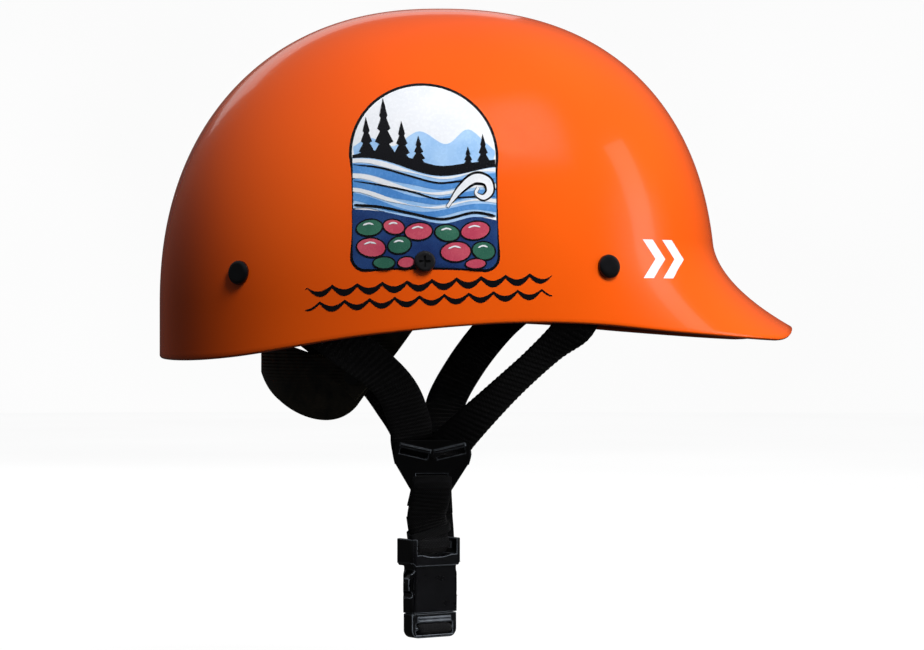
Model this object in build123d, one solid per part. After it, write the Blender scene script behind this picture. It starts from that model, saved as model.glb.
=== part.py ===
from build123d import *

import os
from math import cos, pi, radians, sin

# Whitewater half-cut helmet: peaked shell, foam liner, nape cradle and a buckled four-point harness.
# Millimetres. +X points forward to the peak, +Y to the wearer's left, +Z up.
# The origin is the centre of the head opening, at the height of the side rims.

# ---- shell -------------------------------------------------------------------------------------
FRONT_REACH = 136.0  # plan half-lengths and half-width of the outer skin
REAR_REACH = 135.2
HALF_WIDTH = 112.0
PLAN_POWER = 2.2  # superellipse power of the plan outline
SHOULDER_Z = 8.0  # the walls are upright below this height and domed above it
CROWN_Z = 152.5
DOME_POWER = 2.3
DOME_SKEW = 0.08  # the dome is a little fuller at the front than at the back
PEAK_TOP_Z = 38.0  # the peak starts to flare out of the skin here
PEAK_DROP = 37.0
PEAK_REACH = 32.6  # how far it stands out after that drop
PEAK_POWER = 1.9
PEAK_FADE = 3.0  # how quickly the flare fades towards the sides
PEAK_UNDERCUT = 0.7  # lift of the peak's underside per millimetre of wall
SHELL_WALL = 3.0
RIM_LINE = [(-139, -12), (-132, -16.8), (-101, -15.2), (-43, -5.6), (16, 0), (60, 0),
            (104, -3.9), (150, -7.4), (164, -7), (176, 0.5)]  # side view of the trimmed edge

# ---- liner: depths below the outer skin --------------------------------------------------------
CROWN_FOAM = (3.4, 17.0)
BAND_FOAM = (11.2, 21.0)
FIT_PAD = (21.3, 30.5)
BAND_TOP_Z = 61.0
BAND_BOTTOM_Z = 13.0
NAPE_FOAM_Z = -4.0
BAND_SPLIT = 45.0  # plan angle of the splits between the band's four pieces
BAND_GAP = 1.4  # half the angular gap at each split

# ---- fasteners ---------------------------------------------------------------------------------
FRONT_ANCHOR = (71.2, 25.3)  # fore-and-aft place and height on the skin
REAR_ANCHOR = (-97.8, 22.6)
CRADLE_SCREW = (-14.4, 27.2)
RIVET_CAP_R = 5.6
RIVET_SHANK_R = 2.4
SCREW_HEAD_R = 4.9
SCREW_SHANK_R = 2.0
HOLE_PLAY = 0.1

# ---- webbing -----------------------------------------------------------------------------------
WEB_WIDTH = 20.0
WEB_THICK = 1.6
STRAP_DEPTH = 4.6  # strap centre below the outer skin where it runs inside the shell
STRAP_SPLIT = 0.5  # gap between a strap's fixed end and its swinging part
SWAY_Y = 97.0  # the straps leave the rim this far from the middle
DIVIDER = (-5.8, 42.0, -67.0)
LEFT_SHIFT = 6.0  # the slack left side hangs this much further forward
DIVIDER_THICK = 3.4
DIVIDER_TOP = 12.5  # its top edge above its middle, along its own face

# ---- nape cradle -------------------------------------------------------------------------------
CRADLE_CENTRE_X = -24.0
CRADLE_REACH = 62.0
CRADLE_HALF_WIDTH = 68.0
CRADLE_WALL = 2.6
CRADLE_PAD_THICK = 4.0
CRADLE_TOP_Z = -8.0
CRADLE_BOTTOM_Z = -50.0
ARM_WIDTH = 17.0
ARM_THICK = 2.0
STUD_R = 1.7
ARM_LIFT = 5.2  # arm centre beside the cup's outer face
ARM_DEPTH = 8.2  # arm centre below the outer skin at the side screw

# ---- buckle ------------------------------------------------------------------------------------
BUCKLE_AT = (-5.0, -20.0)  # plan place of the hanging buckle's axis
BUCKLE_TURN = 30.0  # its face is turned forward by this much
BUCKLE_TOP_Z = -104.4
BUCKLE_WIDTH = 27.0
BUCKLE_DEPTH = 9.6
SOCKET_LENGTH = 35.6
TONGUE_LENGTH = 11.7
COLLAR_LENGTH = 13.0  # thicker frame round the socket's strap opening
COLLAR_DEPTH = 15.0
SOCKET_GAP = 0.4  # between the tongue's shoulder and the socket's mouth
WEB_SLOT = 21.0

RIGHT, LEFT = -1, 1


def shell_point(angle, z, inset=0.0):
    """Point at a plan angle from the peak, on the outer skin or on a layer inset below it."""
    along = (FRONT_REACH if cos(angle) > 0 else REAR_REACH) - inset
    across = HALF_WIDTH - inset
    plan = abs(cos(angle) / along) ** PLAN_POWER + abs(sin(angle) / across) ** PLAN_POWER
    power = DOME_POWER + DOME_SKEW * cos(angle)
    rise = max(0.0, z - SHOULDER_Z) / (CROWN_Z - SHOULDER_Z - inset)
    radius = plan ** (-1 / PLAN_POWER) * (1 - rise ** power) ** (1 / power)
    reach = 0.0
    if inset <= SHELL_WALL:
        drop = max(0.0, PEAK_TOP_Z - z - PEAK_UNDERCUT * inset) / PEAK_DROP
        reach = PEAK_REACH * drop ** PEAK_POWER * max(0.0, cos(angle)) ** PEAK_FADE
    return Vector(radius * cos(angle) + reach, radius * sin(angle), z)


def skin_plane(x, z, side, inset=0.0):
    """Plane on the skin at a fore-and-aft place and height; its Z axis points out of the shell."""
    low, high = 0.0, pi
    for _ in range(40):
        middle = (low + high) / 2
        if shell_point(middle, z, inset).X > x:
            low = middle
        else:
            high = middle
    angle = low * side
    step = 0.01
    around = shell_point(angle + step, z, inset) - shell_point(angle - step, z, inset)
    up = shell_point(angle, z + step, inset) - shell_point(angle, z - step, inset)
    return Plane(shell_point(angle, z, inset), x_dir=around, z_dir=around.cross(up))


def dome(inset, floor_z=-26.0):
    """Solid bounded by the skin inset by this much, from floor_z up to the crown."""
    height = CROWN_Z - SHOULDER_Z - inset
    below = [floor_z + (SHOULDER_Z - floor_z) * i / 4 for i in range(4)]
    above = [SHOULDER_Z + height * sin(radians(t)) for t in (0, 4, 8, 13, 24, 36, 48, 59, 69, 78, 84, 87.4)]
    rings = []
    for z in below + above:
        points = [shell_point(2 * pi * (i + 0.5) / 36, z, inset) for i in range(36)]
        rings.append(Wire([Edge.make_spline(points, periodic=True)]))
    return Solid.make_loft(rings)


def slab(low, high):
    """Box from its lowest to its highest corner."""
    size = [b - a for a, b in zip(low, high)]
    middle = [(a + b) / 2 for a, b in zip(low, high)]
    return Pos(*middle) * Box(*size)


def above_rim():
    """Everything above the side view of the trimmed rim."""
    start, end = RIM_LINE[0], RIM_LINE[-1]
    with BuildSketch(Plane.XZ) as profile:
        with BuildLine():
            Spline(*RIM_LINE)
            Polyline(end, (200, end[1]), (200, 200), (-200, 200), (-200, start[1]), start)
        make_face()
    return extrude(profile.sketch, amount=150, both=True)


def wedge(centre, half_angle, z0, z1):
    """Upright sector about the helmet's axis, in plan degrees from the peak."""
    reach = 400
    angles = [radians(centre - half_angle), radians(centre), radians(centre + half_angle)]
    corners = [(0, 0)] + [(reach * cos(a), reach * sin(a)) for a in angles]
    face = make_face(Polyline(*corners, close=True))
    return Pos(0, 0, z0) * extrude(face, z1 - z0)


def webbing(points, normals, width=WEB_WIDTH, thick=WEB_THICK):
    """Flat strap through the points; each normal is the way its face looks there."""
    points = [Vector(*p) for p in points]
    widths = width if isinstance(width, (list, tuple)) else [width] * len(points)
    sections = []
    for i, point in enumerate(points):
        run = points[min(i + 1, len(points) - 1)] - points[max(i - 1, 0)]
        across = run.cross(Vector(*normals[i])).normalized()
        face = across.cross(run).normalized()
        half, rise = across * (widths[i] / 2), face * (thick / 2)
        corners = [point + half + rise, point - half + rise, point - half - rise, point + half - rise]
        sections.append(Wire.make_polygon(corners, close=True))
    return Solid.make_loft(sections, ruled=len(points) == 2)


def on_skin(x, z, side, depth):
    """Point and outward direction at a depth below the skin."""
    plane = skin_plane(x, z, side)
    return plane.origin - plane.z_dir * depth, plane.z_dir


# ---- helmet body -------------------------------------------------------------------------------
def anchors():
    return [skin_plane(*place, side) for side in (RIGHT, LEFT) for place in (FRONT_ANCHOR, REAR_ANCHOR)]


def screws():
    return [skin_plane(*CRADLE_SCREW, side) for side in (RIGHT, LEFT)]


def outer_shell():
    shell = (dome(0) & above_rim()) - dome(SHELL_WALL)
    for plane in anchors():
        shell -= plane * Cylinder(RIVET_SHANK_R + HOLE_PLAY, 12)
    for plane in screws():
        shell -= plane * Cylinder(SCREW_SHANK_R + HOLE_PLAY, 12)
    return shell


def layer(depths, centre, half_angle, z0, z1):
    """Foam piece between two depths, within a plan sector and a height range."""
    outer, inner = depths
    return (dome(outer) & wedge(centre, half_angle, z0, z1)) - dome(inner)


def liner_crown():
    cap = slab((-200, -200, BAND_TOP_Z + 0.6), (200, 200, 200))
    return (dome(CROWN_FOAM[0]) & cap) - dome(CROWN_FOAM[1])


def band_piece(centre, bottom_z=BAND_BOTTOM_Z):
    return layer(BAND_FOAM, centre, BAND_SPLIT - BAND_GAP, bottom_z, BAND_TOP_Z)


def fit_pad(centre, half_angle, bottom_z):
    return layer(FIT_PAD, centre, half_angle, bottom_z, BAND_TOP_Z - 6)


def pad_crown():
    depth = CROWN_FOAM[1] + 0.3
    column = Pos(0, 0, 100) * Cylinder(48, 120)
    return (dome(depth) & column) - dome(depth + 7)


def anchor_rivets():
    """Domed caps outside, shanks through the shell and the strap."""
    rivets = []
    for plane in anchors():
        cap = Pos(0, 0, 1.15) * Cylinder(RIVET_CAP_R, 2.1)
        cap = fillet(cap.edges().group_by(Axis.Z)[-1], 1.6)
        shank = Pos(0, 0, -4.0) * Cylinder(RIVET_SHANK_R, 9.0)
        rivets.append(plane * (cap + shank))
    return Compound(rivets)


def anchor_nuts():
    """Flanged barrel nuts that clamp the straps from inside."""
    nuts = []
    for plane in anchors():
        flange = Pos(0, 0, -6.8) * Cylinder(6.2, 1.2)
        barrel = Pos(0, 0, -8.2) * Cylinder(3.6, 1.8)
        bore = Cylinder(RIVET_SHANK_R + 0.02, 40)
        nuts.append(plane * (flange + barrel - bore))
    return Compound(nuts)


def cradle_screws():
    """Pan-head screws with a cross recess."""
    parts = []
    for plane in screws():
        head = Pos(0, 0, 1.35) * Cylinder(SCREW_HEAD_R, 2.5)
        head = fillet(head.edges().group_by(Axis.Z)[-1], 1.5)
        for turn in (0, 90):
            head -= Pos(0, 0, 2.4) * Rot(0, 0, turn) * Box(5.2, 1.1, 2.2)
        shank = Pos(0, 0, -5.4) * Cylinder(SCREW_SHANK_R, 11.2)
        parts.append(plane * (head + shank))
    return Compound(parts)


def cradle_spacers():
    """Bushes that hold the cradle's arms off the shell, clear of the rear straps."""
    top, bottom = -SHELL_WALL - 0.3, -ARM_DEPTH + ARM_THICK / 2 + 0.9
    tube = Cylinder(4.6, top - bottom) - Cylinder(SCREW_SHANK_R + HOLE_PLAY, 20)
    return Compound([plane * Pos(0, 0, (top + bottom) / 2) * tube for plane in screws()])


def cradle_nuts():
    nut = extrude(RegularPolygon(3.6, 6), 1.2) - Cylinder(SCREW_SHANK_R + 0.02, 20)
    return Compound([plane * Pos(0, 0, -ARM_DEPTH - ARM_THICK / 2 - 1.5) * nut for plane in screws()])


# ---- straps ------------------------------------------------------------------------------------
def rim_exit(which, side):
    """Where a strap's centre passes the rim: this is on the line that the harness sways about."""
    if which == "front":
        return Vector(55 if side == RIGHT else 38, side * SWAY_Y, -3)
    return Vector(-53, side * SWAY_Y, -8)


def anchor_strap(which, side):
    """The punched end of a strap, from its rivet down to the rim."""
    x, z = FRONT_ANCHOR if which == "front" else REAR_ANCHOR
    leave = rim_exit(which, side)
    start, start_out = on_skin(x, z, side, STRAP_DEPTH)
    run = (leave - start).normalized()
    tip, tip_out = on_skin(x - 8 * run.X, z - 8 * run.Z, side, STRAP_DEPTH)
    middle, middle_out = on_skin((x + leave.X) / 2, (z + leave.Z) / 2, side, STRAP_DEPTH)
    normals = [tip_out, start_out, middle_out, exit_normal(which, side)]
    strap = webbing([tip, start, middle, leave + run * 6], normals)
    strap &= slab((-200, -200, leave.Z + STRAP_SPLIT / 2), (200, 200, 100))
    plane = skin_plane(x, z, side)
    return strap - plane * Pos(0, 0, -STRAP_DEPTH) * Cylinder(RIVET_SHANK_R + HOLE_PLAY, 9)


def exit_normal(which, side):
    """The way a strap faces where it passes the rim."""
    return Vector(0.3 if which == "front" else -0.2, side, 0)


def harness_strap(which, side):
    """The swinging part of a strap, from the rim to the divider's top edge."""
    leave = rim_exit(which, side)
    slack = LEFT_SHIFT if side == LEFT else 0
    if which == "front" and side == RIGHT:
        points = [leave, (42.5, -85, -15.5), (24, -66.5, -34.3), (4.5, -46, -58)]
        normals = [exit_normal(which, side), (0.75, -1, 0.15), (0.5, -1, -0.5), (0.1, -1, -0.6)]
    elif which == "front":
        points = [leave, (21, 78.5, -22.5), (9, 62, -42.5), (4.8 + slack, 47.9, -59.1)]
        normals = [exit_normal(which, side), (0, 1, -0.6), (0, 1, -0.8), (0.1, 1, -0.6)]
    else:
        points = [leave, (-28, side * 82, -28), (-18 + slack / 2, side * 60, -46),
                  (-13.5 + slack, side * 45.5, -59)]
        normals = [exit_normal(which, side), (0, side, -0.7), (0, side, -0.7), (0, side, -0.5)]
    run = (Vector(*points[1]) - leave).normalized()
    strap = webbing([leave - run * 6] + points[1:], normals)
    strap &= slab((-200, -200, -100), (200, 200, leave.Z - STRAP_SPLIT / 2))
    return strap - divider_plane(side) * Box(70, 2 * (DIVIDER_TOP + 0.5), 60)


def divider_plane(side):
    """The divider's own plane: Z looks outwards and a little down, Y points up the strap."""
    lean = Vector(0, side, -0.38).normalized()
    slack = LEFT_SHIFT if side == LEFT else 0
    return Plane(Vector(DIVIDER[0] + slack, side * DIVIDER[1], DIVIDER[2]), x_dir=(-side, 0, 0), z_dir=lean)


def divider(side):
    """Flat moulded divider: two slanted, lipped strap slots above, one level slot below."""
    half, top, waist, foot = 17.6, DIVIDER_TOP, 1.0, -15.5
    outline = [(-half, top), (half, top), (half + 0.6, waist),
               (9.0, foot), (-9.0, foot), (-half - 0.6, waist)]
    face = make_face(Polyline(*outline, close=True))
    plate = extrude(fillet(face.vertices(), 3.0), DIVIDER_THICK / 2, both=True)
    plate = fillet(plate.edges().group_by(Axis.Z)[-1] + plate.edges().group_by(Axis.Z)[0], 1.0)
    for x, tilt in ((-8.8, -14), (8.8, 14)):
        plate += Pos(x * 0.93, 8.3, 0) * Rot(0, 0, tilt) * Box(15.0, 1.5, DIVIDER_THICK + 1.4)
        plate -= Pos(x, 5.4, 0) * Rot(0, 0, tilt) * Box(13.6, 3.0, 12)
    plate -= Pos(0, -6.6, 0) * Box(15.0, 3.2, 12)
    return divider_plane(side) * plate


def buckle_frame():
    """The buckle's own frame: X across it, Z up its axis from its top edge, Y away from its face."""
    face = Vector(sin(radians(BUCKLE_TURN)), -cos(radians(BUCKLE_TURN)), 0)
    across = Vector(cos(radians(BUCKLE_TURN)), sin(radians(BUCKLE_TURN)), 0)
    return Plane(Vector(*BUCKLE_AT, BUCKLE_TOP_Z), x_dir=across, z_dir=(0, 0, 1)), face


def chin_path(width, thick):
    """Strap between the right divider's foot and the socket's bar."""
    _, face = buckle_frame()
    points = [(-7.5, -37.0, -83.4), (-7.6, -29.5, -92.5), (-5.8, -21.4, -100.8), (*BUCKLE_AT, -109.0)]
    normals = [(0, -1, -0.4), (0.15, -1, -0.45), (0.4, -1, -0.1), face]
    return webbing(points, normals, [width, width, width - 1, width - 1], thick)


def chin_strap_right():
    return chin_path(19.2, 3.4) & slab((-60, -60, BUCKLE_TOP_Z - 1.8), (60, 60, 0))


def strap_keeper():
    """Elastic band round the right chin strap."""
    middle_z, half_height = -100.2, 2.3
    ring = chin_path(21.6, 6.0) - chin_path(19.8, 4.0)
    return ring & slab((-60, -60, middle_z - half_height), (60, 60, middle_z + half_height))


def chin_strap_left():
    """Webbing from behind the tongue's ladder bars up to the left divider, its tail lying on it."""
    points = [(-8.2, -13.6, -149.5), (-5.0, -6, -139), (0.5, 13, -115), (0.5, 36.0, -84.4)]
    normals = [(0.4, -1, -0.5), (0.2, -1, -0.7), (0, -1, -0.8), (0, -1, -0.8)]
    return webbing(points, normals, thick=2.6)


# ---- buckle ------------------------------------------------------------------------------------
def buckle_socket():
    frame, _ = buckle_frame()
    length, half = SOCKET_LENGTH, BUCKLE_WIDTH / 2
    body = Pos(0, 0, -length / 2) * Box(BUCKLE_WIDTH, BUCKLE_DEPTH, length)
    body = fillet(body.edges().filter_by(Axis.Z), 2.4)
    collar = Pos(0, 1.2, -COLLAR_LENGTH / 2) * Box(BUCKLE_WIDTH + 1.6, COLLAR_DEPTH, COLLAR_LENGTH)
    body += fillet(collar.edges().filter_by(Axis.Z), 2.2)
    for side in (-1, 1):
        body -= Pos(side * (half + 1.6), 0, -14.4) * Rot(90, 0, 0) * Cylinder(3.0, 40)
        body -= Pos(side * half, 0, -20.6) * Box(9, 5.8, 11.4)
        body -= Pos(side * (half + 1.3), 0, -26.8) * Rot(90, 0, 0) * Cylinder(1.9, 40)
    opening = slab((-11.4, -20, -7.6), (11.4, 20, 1))
    sag = Pos(0, 0, 21.0) * Rot(90, 0, 0) * Cylinder(29.8, 40)
    body -= opening + (sag & slab((-11.4, -20, -12), (11.4, 20, 1)))
    body += Pos(0, 0, -3.6) * Box(23.4, 3.0, 3.0)
    body -= slab((-10.6, -3.3, -length - 1), (10.6, 3.3, -14.2))
    return frame * body


def tongue_top():
    return -SOCKET_LENGTH - SOCKET_GAP


def buckle_tongue():
    """Base with two strap slots and two grip ridges, and the blade that guides it in the socket."""
    frame, _ = buckle_frame()
    top = tongue_top()
    base = Pos(0, 0, top - TONGUE_LENGTH / 2) * Box(BUCKLE_WIDTH - 1, 7.6, TONGUE_LENGTH)
    base = fillet(base.edges().filter_by(Axis.Y).group_by(Axis.Z)[0], 4.0)
    for z in (top - 5.6, top - 9.1):
        base -= Pos(0, 0, z) * Box(WEB_SLOT, 20, 2.2)
    for z in (top - 2.0, top - 3.6):
        base += Pos(0, -3.9, z) * Box(18.6, 1.4, 0.9)
    blade = slab((-2.0, -2.3, top), (2.0, 2.3, top + 21))
    return frame * (base + blade)


def buckle_prong(side):
    """Springy arm with a latching head that shows in the socket's side window."""
    frame, _ = buckle_frame()
    top = tongue_top()
    foot, tip, inner = top + 0.3, top + 21.2, 6.6
    outline = [(inner, foot), (inner + 3.2, foot), (inner + 3.2, top + 10.2), (13.9, top + 11.0),
               (14.3, top + 14.0), (13.9, top + 17.0), (10.0, tip), (inner + 0.4, tip)]
    face = make_face(Polyline(*[(side * x, z) for x, z in outline], close=True))
    return frame * Rot(90, 0, 0) * extrude(face, 2.4, both=True)


# ---- nape cradle -------------------------------------------------------------------------------
def cup_section(z, inset):
    """Half-oval open to the front, smaller towards the nape's lower edge."""
    taper = 1 - 0.22 * (CRADLE_TOP_Z - z) / (CRADLE_TOP_Z - CRADLE_BOTTOM_Z)
    reach, half = CRADLE_REACH - inset, CRADLE_HALF_WIDTH * taper - inset
    return Pos(CRADLE_CENTRE_X, 0, z) * Ellipse(reach, half)


def cup_solid(inset):
    return loft([cup_section(CRADLE_TOP_Z + 6, inset), cup_section(CRADLE_BOTTOM_Z - 4, inset)])


def cup_outline(margin=0.0):
    """Side view of the cup: deeper lobes at the sides, a rising front edge."""
    m = margin
    with BuildSketch(Plane.XZ) as outline:
        with BuildLine():
            lower = Spline((-91, -8 - m), (-87.4 + m, -20), (-81 + m, -34), (-69, -43.6 + m),
                           (-54, -46.4 + m), (-42 - m, -39.5))
            front = Line(lower @ 1, (-33 - m, -26))
            Polyline(front @ 1, (-38 - m, -17 - m), (-60, -16 - m), (-74, -11 - m), lower @ 0)
        make_face()
    return extrude(outline.sketch, amount=120, both=True)


def cup_outwards(side):
    """The way the cup's side faces where the arms are held."""
    return Vector(-0.45, side, -0.25)


def stud_plane(side):
    """Where an arm is held on the cup; Z points outwards through both."""
    return Plane(cup_side(-44.5, -25.5, side, ARM_LIFT), z_dir=cup_outwards(side))


def cradle_cup():
    cup = (cup_solid(0) - cup_solid(CRADLE_WALL)) & cup_outline()
    for side in (RIGHT, LEFT):
        cup -= stud_plane(side) * Cylinder(STUD_R + HOLE_PLAY, 16)
    return cup


def cradle_pad():
    inner = CRADLE_WALL + 0.3
    lining = cup_solid(inner) - cup_solid(inner + CRADLE_PAD_THICK)
    rear = slab((-120, -60, -100), (-46, 60, 20))
    return lining & cup_outline(margin=3.0) & rear


def cup_side(x, z, side, outwards):
    """Point beside the cup's outer face at a place in its side view."""
    taper = 1 - 0.22 * (CRADLE_TOP_Z - z) / (CRADLE_TOP_Z - CRADLE_BOTTOM_Z)
    share = (x - CRADLE_CENTRE_X) / CRADLE_REACH
    return Vector(x, side * (CRADLE_HALF_WIDTH * taper * (1 - share ** 2) ** 0.5 + outwards), z)


def cradle_arm(side):
    """Flexible arm from the side screw, inside the shell, down to the cup."""
    start, start_out = on_skin(*CRADLE_SCREW, side, ARM_DEPTH)
    points = [start, on_skin(-18, 15, side, ARM_DEPTH)[0], (-26, side * 95.5, 0.5), (-34, side * 81, -12),
              cup_side(-40, -20, side, ARM_LIFT), cup_side(-49, -31, side, ARM_LIFT)]
    normals = [start_out, start_out, (0, side, -0.3), (-0.2, side, -0.8),
               cup_outwards(side), cup_outwards(side)]
    arm = webbing(points, normals, ARM_WIDTH, ARM_THICK) - stud_plane(side) * Cylinder(STUD_R + HOLE_PLAY, 16)
    plane = skin_plane(*CRADLE_SCREW, side)
    eye = Pos(0, 0, -ARM_DEPTH) * Cylinder(ARM_WIDTH / 2, ARM_THICK)
    return arm + plane * eye - plane * Pos(0, 0, -ARM_DEPTH) * Cylinder(SCREW_SHANK_R + HOLE_PLAY, 8)


def cradle_studs():
    """Snap studs through the arms and the cup."""
    cap = Pos(0, 0, 2.0) * Cylinder(3.6, 1.2)
    shank = Pos(0, 0, -3.1) * Cylinder(STUD_R, 9.2)
    return Compound([stud_plane(side) * (cap + shank) for side in (RIGHT, LEFT)])


# ---- write every node --------------------------------------------------------------------------
def all_nodes():
    nodes = {
        "outer_shell": outer_shell(),
        "liner_crown": liner_crown(),
        "liner_front": band_piece(0),
        "liner_left": band_piece(90),
        "liner_rear": band_piece(180, NAPE_FOAM_Z),
        "liner_right": band_piece(270),
        "pad_crown": pad_crown(),
        "pad_front": fit_pad(0, 26, BAND_BOTTOM_Z + 5),
        "pad_left": fit_pad(90, 22, BAND_BOTTOM_Z + 5),
        "pad_rear": fit_pad(180, 26, NAPE_FOAM_Z + 5),
        "pad_right": fit_pad(270, 22, BAND_BOTTOM_Z + 5),
        "anchor_rivets": anchor_rivets(),
        "anchor_nuts": anchor_nuts(),
        "cradle_screws": cradle_screws(),
        "cradle_spacers": cradle_spacers(),
        "cradle_nuts": cradle_nuts(),
        "cradle_cup": cradle_cup(),
        "cradle_pad": cradle_pad(),
        "cradle_studs": cradle_studs(),
        "chin_strap_right": chin_strap_right(),
        "chin_strap_left": chin_strap_left(),
        "strap_keeper": strap_keeper(),
        "buckle_socket": buckle_socket(),
        "buckle_tongue": buckle_tongue(),
        "buckle_prong_front": buckle_prong(1),
        "buckle_prong_rear": buckle_prong(-1),
    }
    for side, word in ((RIGHT, "right"), (LEFT, "left")):
        nodes[f"divider_{word}"] = divider(side)
        nodes[f"cradle_arm_{word}"] = cradle_arm(side)
        for which in ("front", "rear"):
            nodes[f"anchor_strap_{which}_{word}"] = anchor_strap(which, side)
            nodes[f"{which}_strap_{word}"] = harness_strap(which, side)
    return nodes


os.makedirs("parts", exist_ok=True)
for name, shape in all_nodes().items():
    export_step(shape, f"parts/{name}.step")
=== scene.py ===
from math import cos, pi, radians, sin

import bmesh
import bpy
import numpy as np
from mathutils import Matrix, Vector, geometry


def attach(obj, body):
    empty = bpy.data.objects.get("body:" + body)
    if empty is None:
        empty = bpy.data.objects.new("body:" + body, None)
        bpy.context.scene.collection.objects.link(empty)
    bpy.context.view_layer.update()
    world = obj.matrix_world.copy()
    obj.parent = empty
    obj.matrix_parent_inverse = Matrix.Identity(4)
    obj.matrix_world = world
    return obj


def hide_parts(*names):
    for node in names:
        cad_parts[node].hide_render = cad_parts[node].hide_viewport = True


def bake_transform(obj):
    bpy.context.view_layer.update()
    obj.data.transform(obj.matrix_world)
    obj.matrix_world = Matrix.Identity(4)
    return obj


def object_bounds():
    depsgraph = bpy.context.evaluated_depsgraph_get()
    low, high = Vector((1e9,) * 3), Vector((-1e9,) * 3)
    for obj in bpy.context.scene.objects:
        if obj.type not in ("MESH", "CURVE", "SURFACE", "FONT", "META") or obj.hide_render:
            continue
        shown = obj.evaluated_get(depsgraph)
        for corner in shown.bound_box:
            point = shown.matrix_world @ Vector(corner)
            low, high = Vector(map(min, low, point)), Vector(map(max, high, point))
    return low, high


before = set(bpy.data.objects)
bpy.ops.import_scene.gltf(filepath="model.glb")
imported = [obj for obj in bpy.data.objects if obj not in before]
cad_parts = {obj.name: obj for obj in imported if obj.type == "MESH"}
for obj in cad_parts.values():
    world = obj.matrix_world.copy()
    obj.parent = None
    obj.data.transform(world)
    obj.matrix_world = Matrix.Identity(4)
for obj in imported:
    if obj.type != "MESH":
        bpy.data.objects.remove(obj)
CAD_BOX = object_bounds()
MM = 0.001
RIGHT, LEFT = -1, 1
SIDES = ((RIGHT, "right"), (LEFT, "left"))

# The helmet's driving dimensions, in metres, as the frame has them.
FRONT_REACH, REAR_REACH, HALF_WIDTH = 0.136, 0.1352, 0.112
PLAN_POWER = 2.2
SHOULDER_Z, CROWN_Z = 0.008, 0.1525
DOME_POWER, DOME_SKEW = 2.3, 0.08
PEAK_TOP_Z, PEAK_DROP, PEAK_REACH = 0.038, 0.037, 0.0326
PEAK_POWER, PEAK_FADE, PEAK_UNDERCUT = 1.9, 3.0, 0.7
SHELL_WALL = 0.003
DIMPLE = (0.0272, 0.0842)
RIM_LINE = np.array([(-139, -12), (-132, -16.8), (-101, -15.2), (-43, -5.6), (16, 0), (60, 0),
                     (104, -3.9), (150, -7.4), (164, -7), (176, 0.5)]) * MM
FRONT_ANCHOR = (0.0712, 0.0253)
REAR_ANCHOR = (-0.0978, 0.0226)
STRAP_DEPTH = 0.0046
WEB_WIDTH, WEB_THICK = 0.020, 0.0016
CHIN_WIDTH = 0.0190

# How finely curves are worked out.
SPAN_STEPS = 24  # points of a smooth curve between two given ones
HALVINGS = 40  # steps of a search for a place on the skin


# ---- mesh helpers ------------------------------------------------------------------------------
def new_object(name, vertices, faces, material):
    """Smooth-shaded mesh object with one material."""
    mesh = bpy.data.meshes.new(name)
    mesh.from_pydata([tuple(v) for v in vertices], [], [tuple(f) for f in faces])
    mesh.validate()
    mesh.polygons.foreach_set("use_smooth", [True] * len(mesh.polygons))
    piece = bpy.data.objects.new(name, mesh)
    bpy.context.scene.collection.objects.link(piece)
    piece.data.materials.append(material)
    return piece


def grid_faces(rows, columns, closed=True, start=0, flip=False):
    """Quads of a grid stored row by row; closed joins the last column to the first."""
    faces = []
    for i in range(rows - 1):
        for j in range(columns if closed else columns - 1):
            k = (j + 1) % columns
            quad = (start + i * columns + j, start + i * columns + k,
                    start + (i + 1) * columns + k, start + (i + 1) * columns + j)
            faces.append(quad[::-1] if flip else quad)
    return faces


def smooth_through(points, count):
    """Catmull-Rom curve through the points, evenly spaced along its length."""
    p = np.asarray(points, float)
    p = np.vstack([2 * p[0] - p[1], p, 2 * p[-1] - p[-2]])
    t = np.linspace(0, 1, SPAN_STEPS, endpoint=False)[:, None]
    spans = []
    for a, b, c, d in zip(p, p[1:], p[2:], p[3:]):
        spans.append(0.5 * (2 * b + (c - a) * t + (2 * a - 5 * b + 4 * c - d) * t ** 2
                            + (3 * b - a - 3 * c + d) * t ** 3))
    dense = np.vstack(spans + [p[-2][None]])
    run = np.concatenate([[0], np.cumsum(np.linalg.norm(np.diff(dense, axis=0), axis=1))])
    even = np.linspace(0, run[-1], count)
    return np.stack([np.interp(even, run, dense[:, i]) for i in range(dense.shape[1])], axis=1)


def add_bevel(piece, width):
    """Rounds a CAD node's edges; its faces have corners of their own, so they are joined first."""
    weld = piece.modifiers.new("joined", "WELD")
    weld.merge_threshold = 0.00001
    bevel = piece.modifiers.new("edges", "BEVEL")
    bevel.width = width
    bevel.segments = 3
    bevel.limit_method = "ANGLE"
    bevel.angle_limit = radians(35)
    bevel.harden_normals = True
    return bevel


# ---- the shell's surface -----------------------------------------------------------------------
def skin(angle, z, inset=0.0, peaked=True):
    """Points at plan angles from the peak and heights, on the outer skin or a layer below it."""
    angle, z = np.broadcast_arrays(np.asarray(angle, float), np.asarray(z, float))
    c, s = np.cos(angle), np.sin(angle)
    along = np.where(c > 0, FRONT_REACH, REAR_REACH) - inset
    plan = np.abs(c / along) ** PLAN_POWER + np.abs(s / (HALF_WIDTH - inset)) ** PLAN_POWER
    power = DOME_POWER + DOME_SKEW * c
    rise = np.clip((z - SHOULDER_Z) / (CROWN_Z - SHOULDER_Z - inset), 0, 1)
    radius = plan ** (-1 / PLAN_POWER) * (1 - rise ** power) ** (1 / power)
    drop = np.clip(PEAK_TOP_Z - z - PEAK_UNDERCUT * inset, 0, None) / PEAK_DROP
    reach = PEAK_REACH * drop ** PEAK_POWER * np.clip(c, 0, None) ** PEAK_FADE if peaked else 0.0
    return np.stack([radius * c + reach, radius * s, z], axis=-1)


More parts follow.
